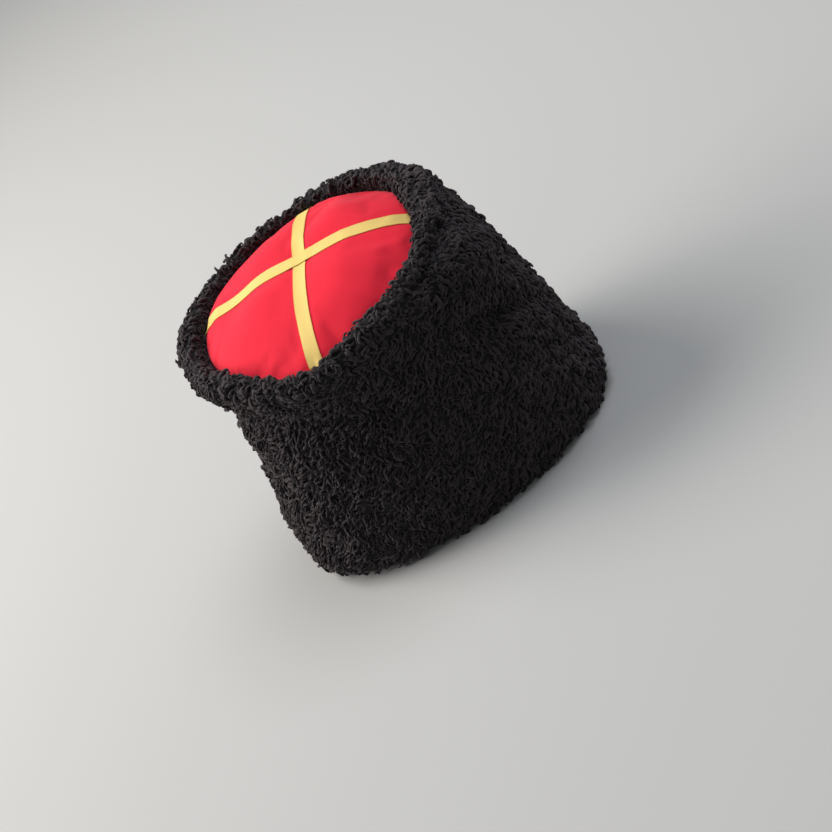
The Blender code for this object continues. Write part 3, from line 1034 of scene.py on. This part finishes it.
def tufted(tree, given, facing):
    """The rotation and the size of each lock, with what it shares with its tuft."""
    place = add_node(tree, "GeometryNodeInputPosition").outputs[0]
    tufts = add_node(tree, "ShaderNodeTexNoise", {
        "Vector": place, "Scale": given["Tufts Per Metre"], "Detail": 0.0,
    }).outputs["Color"]
    tufts = add_node(tree, "ShaderNodeSeparateXYZ", {0: tufts}).outputs
    facing = spun(tree, facing, UP, shared_angle(tree, tufts[0], given["Turn"]))
    facing = spun(tree, facing, UP, chance(tree, given["Seed"], STRAY_DRAW, -LOCK_STRAY, LOCK_STRAY))
    facing = spun(tree, facing, SIDE, shared_angle(tree, tufts[1], given["Lean"]))
    own = chance(tree, given["Seed"], SIZE_DRAW, given["Smallest"], given["Largest"])
    size = maths(tree, "MULTIPLY", stored(tree, "locks", "FLOAT"), own)
    size = maths(tree, "MULTIPLY", size, shared(tree, tufts[2], *TUFT_SIZES))
    return facing, maths(tree, "MINIMUM", size, LARGEST_LOCK)


print("no lock grows beyond", LARGEST_LOCK, "times its length in the table")

# %% Planting tree
def kept_off_floor(tree, given, curls):
    """The curls with everything below the floor's height moved up to it."""
    here = add_node(tree, "ShaderNodeSeparateXYZ", {
        0: add_node(tree, "GeometryNodeInputPosition").outputs[0],
    }).outputs
    above = maths(tree, "MAXIMUM", here[2], given["Floor"])
    pressed = add_node(tree, "ShaderNodeCombineXYZ", {0: here[0], 1: here[1], 2: above}).outputs[0]
    return add_node(tree, "GeometryNodeSetPosition", {0: curls, "Position": pressed}).outputs[0]


def planting_tree():
    """The node tree that scatters, turns, sizes and realises the locks of one part of the hide."""
    tree = bpy.data.node_groups.new("plant locks", "GeometryNodeTree")
    for name, kind in PLANTING_INPUTS:
        tree.interface.new_socket(name, in_out="INPUT", socket_type=kind)
    tree.interface.new_socket("Curls", in_out="OUTPUT", socket_type="NodeSocketGeometry")
    given = add_node(tree, "NodeGroupInput").outputs
    points, facing = scattered(tree, given)
    facing, size = tufted(tree, given, facing)
    shapes = add_node(tree, "GeometryNodeCollectionInfo", {0: given["Shapes"], 1: True, 2: True}).outputs[0]
    pick = maths(tree, "MULTIPLY", chance(tree, given["Seed"], SHAPE_DRAW, 0.0, 1.0), given["Shape Count"])
    planted = add_node(tree, "GeometryNodeInstanceOnPoints", {
        "Points": points, "Instance": shapes, "Pick Instance": True,
        "Instance Index": maths(tree, "FLOOR", pick), "Rotation": facing, "Scale": size,
    }).outputs[0]
    tone = chance(tree, given["Seed"], TONE_DRAW, 0.0, 1.0)
    toned = add_node(
        tree, "GeometryNodeStoreNamedAttribute", {"Geometry": planted, "Name": "tone", "Value": tone},
        data_type="FLOAT", domain="INSTANCE",
    ).outputs[0]
    real = add_node(tree, "GeometryNodeRealizeInstances", {0: toned}).outputs[0]
    rested = kept_off_floor(tree, given, real)
    finished = add_node(tree, "GeometryNodeSetMaterial", {0: rested, "Material": given["Wool"]}).outputs[0]
    add_node(tree, "NodeGroupOutput", {0: finished})
    return tree


planting = planting_tree()
print("tree:", planting.name, "with", len(planting.nodes), "nodes")

# %% [markdown]
# ## The five pieces of curls
# The tree runs once for each part of the hat, over the same hide and with the same seed, so that the
# pieces meet without a gap. The rim takes the hooked shapes, turned every way, and the wall takes the
# flatter waves, which keep closer to the comb.

# %% Plant the curls
# turn, lean: how far tufts stray from the comb; smallest, largest: size of a lock by chance
Planting = namedtuple("Planting", "shapes spacing turn lean smallest largest")
RIM_PLANTING = Planting(rim_shapes, 1.88 * MM, math.radians(95), math.radians(18), 0.8, 1.12)
WALL_PLANTING = Planting(wall_shapes, 2.01 * MM, math.radians(30), math.radians(10), 0.75, 1.15)
MOST_PER_SQUARE_METRE = 1_200_000.0  # tries to place a lock; the spacing then thins them out
TUFT = 6.0 * MM
CURL_FLOOR = 0.3 * MM
PLANTING_SEED = 11


def plant(part, name, planting_of_part):
    """One piece of curls as a plain mesh, from the planting tree on a copy of the hide."""
    piece = add_object(name, hide.data.copy())
    modifier = piece.modifiers.new("plant locks", "NODES")
    modifier.node_group = planting
    values = {
        "Shapes": planting_of_part.shapes,
        "Shape Count": len(planting_of_part.shapes.objects),
        "Part": part,
        "Spacing": planting_of_part.spacing,
        "Most Per Square Metre": MOST_PER_SQUARE_METRE,
        "Turn": planting_of_part.turn,
        "Lean": planting_of_part.lean,
        "Smallest": planting_of_part.smallest,
        "Largest": planting_of_part.largest,
        "Tufts Per Metre": 1 / TUFT,
        "Floor": CURL_FLOOR,
        "Seed": PLANTING_SEED,
        "Wool": wool,
    }
    for item in planting.interface.items_tree:
        if item.name in values:
            modifier[item.identifier] = values[item.name]
    bake_modifiers(piece)
    return piece


curls = []
for part, name in enumerate(PARTS):
    curls.append(plant(part, name, WALL_PLANTING if part else RIM_PLANTING))
print("triangles of curls:", {piece.name: triangles_in(piece.data) for piece in curls})

# %% [markdown]
# ## The seam and the lines of the tapes
# The crown is sewn in along an oval under the rim, and the two tapes run from seam to seam over one
# crossing. The oval is a superellipse, a little fuller than an ellipse, with its size read off the
# frame. Each tape lies on a smooth curve with three handles. The crossing sits a little off the
# middle, as it often does where a crown is sewn by hand.

# %% Seam and lines of the tapes
CROWN_SQUARENESS = 2.1               # superellipse power; 2 is an ellipse
TAPE_CROSSING = (-3.0, 4.0)          # mm
TAPE_END_SHARE = 0.998               # the ends are tucked under the rim
TAPE_STEPS = 150
Tape = namedtuple("Tape", "name start end")    # start, end: bearings on the seam
TAPES = (Tape("ribbon_under", 67.5, -112.0), Tape("ribbon_over", 149.0, -18.5))


def seam_oval():
    """Middle and half sizes of the crown's seam, from the frame."""
    low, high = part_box("crown_cloth")
    return np.array((low + high)[:2]) / 2, np.array((high - low)[:2]) / 2


def oval_reach(angles, halves):
    """Distance from an oval's middle to its edge at each angle."""
    power = CROWN_SQUARENESS
    across, along = np.abs(np.cos(angles)) / halves[0], np.abs(np.sin(angles)) / halves[1]
    return (across ** power + along ** power) ** (-1 / power)


def tape_line(tape):
    """Plan of a tape's centre line: a smooth curve between two bearings on the seam, over the crossing."""
    middle, halves = seam_oval()
    # here bearings are measured from the oval's own middle
    angles = np.radians((tape.start, tape.end))
    reach = oval_reach(angles, halves)
    reach = reach * TAPE_END_SHARE + np.maximum(seam_slack(np.degrees(angles)), 0)
    first, last = middle + np.stack((np.cos(angles), np.sin(angles)), 1) * reach[:, None]
    handle = 2 * np.array(TAPE_CROSSING) * MM - (first + last) / 2
    part = np.linspace(0, 1, TAPE_STEPS + 1)[:, None]
    return (1 - part) ** 2 * first + 2 * part * (1 - part) * handle + part ** 2 * last


print("seam in mm:", [round(2 * half / MM) for half in seam_oval()[1]])

# %% [markdown]
# ## The red cloth is cut
# The crown is a disc of cotton laid over a little wadding and sewn in under the rim, so it is taut
# across the top and puffs up in the four fields between the tapes. It starts as a square grid bent
# into a disc, which keeps its quads even right to the edge, where a fan of triangles would pinch in
# the middle. Its flat places become the UV map that the weave follows.

# %% Cut
CROWN_GRID = 60
CROWN_TURN_DOWN = 8 * MM             # seam allowance behind the rim


def cut_crown():
    """The cloth's flat cut, and the share of the way out to the seam for each point."""
    middle, halves = seam_oval()
    whole = 1 + CROWN_TURN_DOWN / halves.mean()
    ticks = np.linspace(-1, 1, CROWN_GRID + 1)
    u, v = (grid.ravel() for grid in np.meshgrid(ticks, ticks))
    x, y = u * np.sqrt(1 - v * v / 2), v * np.sqrt(1 - u * u / 2)
    out = np.hypot(x, y) * whole
    angles = np.arctan2(y, x)
    flat = out * oval_reach(angles, halves)
    places = np.stack((middle[0] + flat * np.cos(angles), middle[1] + flat * np.sin(angles), 0 * flat), 1)
    row = CROWN_GRID + 1
    corners = [r * row + c for r in range(CROWN_GRID) for c in range(CROWN_GRID)]
    faces = [(i, i + 1, i + row + 1, i + row) for i in corners]
    mesh = bpy.data.meshes.new("crown")
    mesh.from_pydata(places, [], faces)
    cut = mesh.uv_layers.new(name="cut")
    for loop in mesh.loops:
        cut.data[loop.index].uv = places[loop.vertex_index][:2]
    return add_object("crown", mesh), out


crown, out = cut_crown()
print("cut:", len(crown.data.polygons), "quads")

# %% [markdown]
# ## The cloth is draped
# The cut is laid on the frame's crown: each point drops straight down on the dome, and the seam
# allowance goes down behind the rim. It is then eased, sunk a little to leave room for the swelling,
# and lifted or lowered by a short table where the real cloth lies fuller or flatter than the dome.

# %% Drape
ABOVE_ALL = 0.4                      # m, a height from which to look down
CROWN_DRAPE_EDGE = 0.985             # furthest share of the way out that looks down on the dome
CROWN_SINK = 1.6 * MM
CROWN_RELAX = 10                     # rounds of smoothing
# Each pair of shares of the way out says where something starts and where it is full
SLACK_TAKEN = 0.6, 1.0               # by which the cloth follows the lip
EASING_FADES = 0.9, 0.98
SINKING_FADES = 0.7, 0.98
# bearing: degrees; share of the way out; half_angle, half_share: spread; up in mm
Lift = namedtuple("Lift", "bearing share half_angle half_share up")
CROWN_LIFTS = (
    Lift(0, 0.0, 1000, 0.50, -3.2),      # flatter in the middle, all round
    Lift(152, 0.58, 22, 0.20, -2.8),     # pulled in under the upper tape
    Lift(112, 0.62, 34, 0.22, -2.2),
    Lift(137, 0.93, 22, 0.14, 4.2),
    Lift(180, 0.92, 24, 0.16, 1.4),
    Lift(58, 0.90, 15, 0.15, 2.6),
    Lift(27, 0.84, 22, 0.22, -5.0),
)


def below(surface, spot):
    """Where a ray straight down at a spot meets a surface, or None."""
    return surface.ray_cast(Vector((*spot, ABOVE_ALL)), Vector((0, 0, -1)))[0]


def drape_crown(mesh, out):
    """Lays the cut on the frame's crown, with its edge turned down inside the rim."""
    middle, halves = seam_oval()
    dome = seen_from(frame["nodes"]["crown_cloth"].data)
    level = (points_of(mesh)[:, :2] - middle) / np.maximum(out, TINY)[:, None]
    bearings = bearings_of(level)
    slacks = np.maximum(seam_slack(bearings), 0)
    draped = []
    for edge, share, slack in zip(level, out, slacks):
        top = below(dome, middle + edge * min(share, CROWN_DRAPE_EDGE))
        spot = middle + edge * min(share, 1.0)
        spot += edge / np.linalg.norm(edge + TINY) * slack * smooth_step(share, *SLACK_TAKEN)
        turned_down = max(0.0, share - 1) * halves.mean()
        draped.append((*spot, top.z - turned_down))
    draped = np.array(draped)
    eased = relax(mesh, draped[:, 2:], CROWN_RELAX)[:, 0]
    inner = 1 - smooth_step(out, *EASING_FADES)
    draped[:, 2] += (eased - draped[:, 2]) * inner - CROWN_SINK * (1 - smooth_step(out, *SINKING_FADES))
    for lift in CROWN_LIFTS:
        turn = turn_from(lift.bearing, bearings)
        reach = np.exp(-(turn / lift.half_angle) ** 2 - ((out - lift.share) / lift.half_share) ** 2)
        draped[:, 2] += lift.up * MM * reach
    set_points(mesh, draped)
    return draped[:, 2].max()


dome_top = drape_crown(crown.data, out)
print("draped: highest point at", round(dome_top / MM, 1), "mm")

# %% [markdown]
# ## The cloth is puffed up
# A short cloth simulation inflates the crown, pinned along the seam. The rest size is a little larger
# than the space, which gives soft gathers at the edge. What the simulation may move is capped, so that
# the dome keeps its form. The padding is then pulled in along both tapes, the mesh is made finer, and
# Solidify gives the cloth and its wadding a wall.

# %% Inflate
CROWN_PRESSURE = 3.5
CROWN_EXTRA = 0.02                   # rest length beyond the space
CROWN_BENDING = 0.4                  # stiffness of the cloth against bending
CROWN_QUALITY = 8                    # steps of the simulation in a frame
CROWN_FRAMES = 20
CROWN_CAP = 3.0 * MM


def inflate(piece, out):
    """Puffs the cloth up between its pinned seam by a short simulation, with capped movement."""
    before = points_of(piece.data)
    pins = piece.vertex_groups.new(name="sewn")
    pins.add([int(i) for i in np.flatnonzero(out > CROWN_DRAPE_EDGE)], 1.0, "REPLACE")
    cloth = piece.modifiers.new("cloth", "CLOTH")
    settings = cloth.settings
    settings.vertex_group_mass = "sewn"
    settings.effector_weights.gravity = 0.0
    settings.use_pressure = True
    settings.uniform_pressure_force = CROWN_PRESSURE
    settings.shrink_min = -CROWN_EXTRA
    settings.bending_stiffness = CROWN_BENDING
    settings.quality = CROWN_QUALITY
    cloth.point_cache.frame_start, cloth.point_cache.frame_end = 1, CROWN_FRAMES
    scene = bpy.context.scene
    for number in range(1, CROWN_FRAMES + 1):
        scene.frame_set(number)
    mesh = bake_modifiers(piece)
    scene.frame_set(1)
    moved = points_of(mesh) - before
    distance = np.linalg.norm(moved, axis=1)[:, None]
    moved *= np.minimum(1, CROWN_CAP / np.maximum(distance, TINY))
    set_points(mesh, before + moved)
    piece.vertex_groups.clear()
    return float(distance.max())


swelled = inflate(crown, out)
print("cloth swelled by", round(swelled / MM, 1), "mm before the cap of", round(CROWN_CAP / MM, 1))

# %% Press and finish
TAPE_PRESS = 0.9 * MM                # how far a tape pulls the padding in
TAPE_PRESS_REACH = 6.5 * MM
CROWN_WALL = 1.2 * MM


def press_under_tapes(mesh):
    """Pulls the padding in a little along the tapes."""
    places = points_of(mesh)
    for tape in TAPES:
        away = np.linalg.norm(places[:, None, :2] - tape_line(tape)[None], axis=2).min(axis=1)
        places[:, 2] -= TAPE_PRESS * np.exp(-((away / TAPE_PRESS_REACH) ** 2))
    set_points(mesh, places)


def finish_crown(piece):
    """Makes the cloth finer, gives it its wall and its finish."""
    finer = piece.modifiers.new("finer", "SUBSURF")
    finer.levels = finer.render_levels = 1
    wall = piece.modifiers.new("wall", "SOLIDIFY")
    wall.thickness = CROWN_WALL
    wall.offset = -1
    mesh = bake_modifiers(piece)
    mesh.materials.append(red_cloth)
    mesh.shade_smooth()


press_under_tapes(crown.data)
finish_crown(crown)
print("crown:", triangles_in(crown.data), "triangles")

# %% [markdown]
# ## How high a tape lies
# Each tape is a plain strip that lies on the cloth and is tucked under the rim at both ends. Its points
# are dropped on the cloth and eased along its length, because woven tape bridges small dents. Where
# the upper tape meets the lower one it climbs by a tape's thickness, on a short ramp.

# %% Heights of a tape
TAPE_THICKNESS = 0.45 * MM
TAPE_CLEARANCE = 0.18 * MM
TAPE_EASE, TAPE_EASE_ROUNDS = 3, 2   # steps ahead and behind that a height is averaged over
CLIMB_AHEAD, CLIMB_EASE = 1, 2       # steps before a crossing at which the climb is done, and half its length
TAPE_TUCK = 1.0 * MM                 # how far the very ends go down into the seam
TAPE_TUCK_STEPS = 2


def windows(values, reach):
    """The values, shifted by every step from -reach to reach along the tape."""
    padded = np.pad(values, ((reach, reach), (0, 0)), mode="edge")
    return [padded[start:start + len(values)] for start in range(2 * reach + 1)]


def drop(spots, surface):
    """Height of the surface below each spot, or not a number where there is none."""
    heights = np.full(spots.shape[:2], np.nan)
    for index in np.ndindex(*heights.shape):
        hit = below(surface, spots[index])
        if hit:
            heights[index] = hit.z
    return heights


def tape_heights(spots, cloth, lower_tape):
    """Height of a tape's underside: eased over the cloth, and lifted where it crosses the lower tape."""
    heights = drop(spots, cloth)
    steps = np.arange(len(spots))
    for column in heights.T:
        # past the cloth's edge a tape keeps the height it has there
        known = ~np.isnan(column)
        column[:] = np.interp(steps, steps[known], column[known])
    resting = heights
    for _ in range(TAPE_EASE_ROUNDS):
        heights = np.mean(windows(heights, TAPE_EASE), axis=0)
    heights = np.maximum(heights, resting) + TAPE_CLEARANCE
    if lower_tape:
        crossing = (~np.isnan(drop(spots, lower_tape))).any(axis=1, keepdims=True).astype(float)
        near = np.max(windows(crossing, CLIMB_AHEAD + CLIMB_EASE), axis=0)
        climb = np.mean(windows(near, CLIMB_EASE), axis=0)
        heights += climb * (TAPE_THICKNESS + TAPE_CLEARANCE)
    from_end = np.minimum(steps, steps[::-1])[:, None]
    return heights - TAPE_TUCK * (1 - smooth_step(from_end, 0, TAPE_TUCK_STEPS))


cloth = seen_from(crown.data)
print("cloth at the crossing lies at", round(below(cloth, np.array(TAPE_CROSSING) * MM).z / MM, 1), "mm")

# %% [markdown]
# ## The two tapes
# A tape keeps its width all along, so it is built as a row of flat cross sections square to its line.
# A Curve object with a bevel would twist on the dome. The edges stay sharp, as on woven tape, and the
# UV map runs across and along the tape in metres, so that the ribs keep their distance.

# %% Tapes
TAPE_LINES = 9                       # points across a tape
TAPE_SHARP = math.radians(50)        # edges that turn more than this stay sharp


def tape_strip(name, spots, base, offsets, run):
    """A closed strip between the heights in base and a tape's thickness above them."""
    strip = bmesh.new()
    tape_uv = strip.loops.layers.uv.new("tape")
    rows = []
    for places, heights, start in zip(spots, base, run):
        low = [strip.verts.new((*place, height)) for place, height in zip(places, heights)]
        high = [strip.verts.new((*place, height + TAPE_THICKNESS)) for place, height in zip(places, heights)]
        rows.append((low + high[::-1], [*offsets, *offsets[::-1]], start))
    count = 2 * TAPE_LINES
    for (lower, sides, start), (upper, _, end) in zip(rows, rows[1:]):
        for i in range(count):
            j = (i + 1) % count
            face = strip.faces.new((lower[i], lower[j], upper[j], upper[i]))
            corners = ((sides[i], start), (sides[j], start), (sides[j], end), (sides[i], end))
            for loop, uv in zip(face.loops, corners):
                loop[tape_uv].uv = uv
    for ring, _, _ in (rows[0], rows[-1]):
        strip.faces.new(ring)
    bmesh.ops.recalc_face_normals(strip, faces=strip.faces)
    mesh = bpy.data.meshes.new(name)
    strip.to_mesh(mesh)
    strip.free()
    return mesh


def make_tape(tape, cloth, lower_tape=None):
    """One tape on the cloth, and over the lower tape where there is one."""
    line = tape_line(tape)
    ahead = np.gradient(line, axis=0)
    across = np.stack((-ahead[:, 1], ahead[:, 0]), 1) / np.linalg.norm(ahead, axis=1)[:, None]
    offsets = np.linspace(-TAPE_WIDTH / 2, TAPE_WIDTH / 2, TAPE_LINES)
    spots = line[:, None] + across[:, None] * offsets[None, :, None]
    base = tape_heights(spots, cloth, lower_tape)
    run = np.concatenate(([0], np.cumsum(np.linalg.norm(np.diff(line, axis=0), axis=1))))
    mesh = tape_strip(tape.name + "_tape", spots, base, offsets, run)
    mesh.materials.append(yellow_tape)
    mesh.shade_smooth()
    mesh.set_sharp_from_angle(angle=TAPE_SHARP)
    return add_object(tape.name + "_tape", mesh)


under_tape = make_tape(TAPES[0], cloth)
over_tape = make_tape(TAPES[1], cloth, seen_from(under_tape.data))
tapes = [under_tape, over_tape]
print("tapes:", {piece.name: triangles_in(piece.data) for piece in tapes})

# %% [markdown]
# ## Riding on the frame
# Every piece rides on the frame's root body, and the frame's solids that the pieces stand for
# are hidden.


for piece in [hide, *curls]:
    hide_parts("fleece_band")
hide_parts("crown_cloth")
for piece, tape in zip(tapes, TAPES):
    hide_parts(tape.name)
for piece in [hide, *curls, crown, *tapes]:
    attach(piece, "root")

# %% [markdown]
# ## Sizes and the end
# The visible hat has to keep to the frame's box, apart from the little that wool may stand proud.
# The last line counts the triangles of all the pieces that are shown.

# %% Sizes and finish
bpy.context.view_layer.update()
print("triangles in all:", sum(triangles_in(piece.data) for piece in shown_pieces()))
